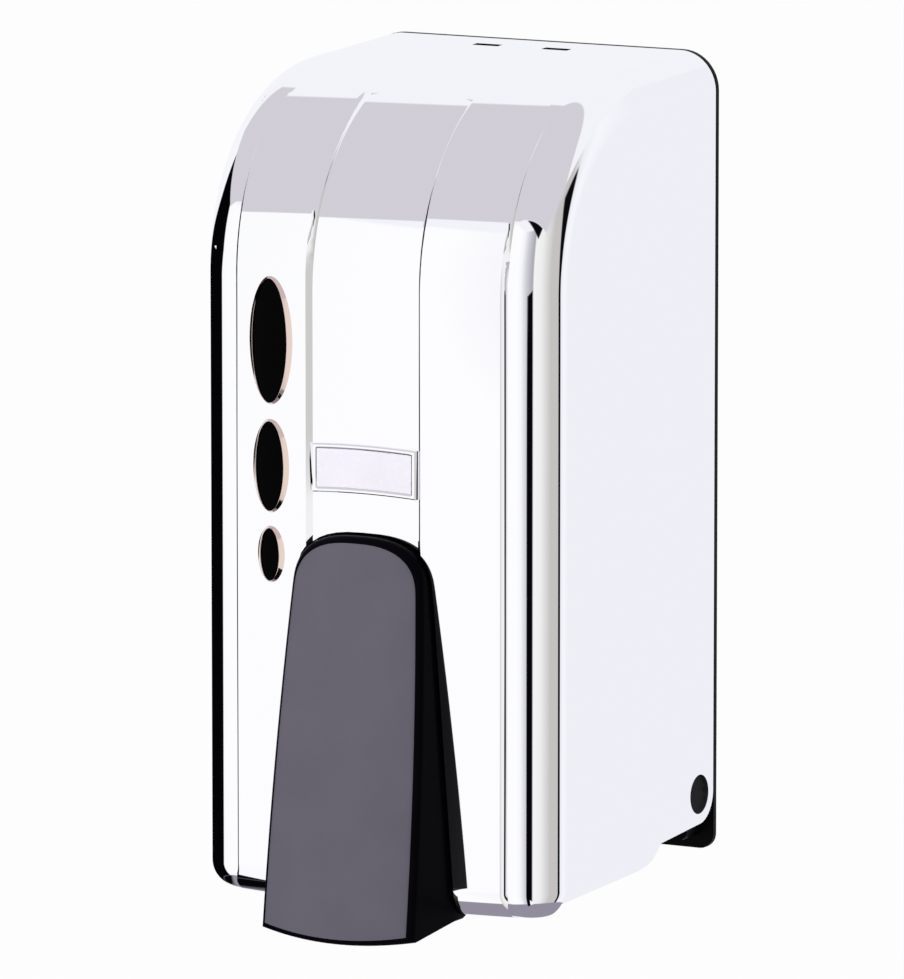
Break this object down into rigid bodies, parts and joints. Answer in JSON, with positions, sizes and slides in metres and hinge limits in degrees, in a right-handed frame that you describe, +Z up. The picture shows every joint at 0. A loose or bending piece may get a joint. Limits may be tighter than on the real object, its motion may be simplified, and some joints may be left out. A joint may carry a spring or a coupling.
{
  "type": "foam soap dispenser",
  "caption": "Wall-mounted foam soap dispenser: hinged chrome cover with oval level windows and a push lever over a refillable tank with a horizontal foam pump.",
  "frame": {"origin": "on the wall face of the back plate, midway between the four screw holes", "axes": "+Y into the wall, +Z up, +X to the right for someone who faces the dispenser"},
  "size_m": [0.1, 0.1124, 0.2146],
  "materials": {
    "chrome_plate": "polished",
    "black_plastic": "satin",
    "lever_plastic": "satin",
    "smoked_lens": "gloss",
    "milky_plastic": "satin",
    "white_plastic": "gloss",
    "steel": "satin",
    "seal_rubber": "matte"
  },
  "bodies": {
    "wall_unit": {"back_plate": "black_plastic", "hinge_pin_left": "black_plastic", "hinge_pin_right": "black_plastic", "tank": "milky_plastic", "lid_gasket": "seal_rubber", "tank_lid": "milky_plastic", "pump_gasket": "seal_rubber", "pump_collar": "white_plastic", "pump_body": "white_plastic", "inlet_ball": "steel", "pump_end_cap": "white_plastic", "pump_spring": "steel"},
    "plunger": {"pump_stem": "white_plastic", "liquid_seal": "seal_rubber", "air_seal": "seal_rubber", "pump_head": "white_plastic", "foam_sleeve": "milky_plastic", "foam_screen_rear": "steel", "foam_screen_front": "steel"},
    "cover_unit": {"cover": "chrome_plate", "window_lens": "smoked_lens", "name_plate": "chrome_plate"},
    "lever": {"push_lever": "lever_plastic", "lever_axle": "steel", "lever_pad": "white_plastic"},
    "latch": {"latch_bar": "black_plastic"}
  },
  "joints": [
    {"name": "cover_hinge", "type": "hinge", "parent": "wall_unit", "child": "cover_unit", "pos_m": [0, -0.0095, -0.0844], "axis": [1, 0, 0], "range_deg": [0, 75]},
    {"name": "lever_press", "type": "hinge", "parent": "cover_unit", "child": "lever", "pos_m": [0, -0.087, -0.014], "axis": [1, 0, 0], "range_deg": [0, 9], "stiffness_Nm_per_rad": 1.6, "springref_deg": -4.41},
    {"name": "pump_stroke", "type": "slide", "parent": "wall_unit", "child": "plunger", "axis": [0, 1, 0], "range_m": [0, 0.00817], "deforming": ["pump_spring"]},
    {"name": "latch_release", "type": "slide", "parent": "wall_unit", "child": "latch", "axis": [0, 0, -1], "range_m": [0, 0.003], "stiffness_N_per_m": 300, "springref_m": -0.003}
  ],
  "couplings": [
    {"joint": "pump_stroke", "follows": "lever_press", "m_per_rad": 0.052}
  ]
}
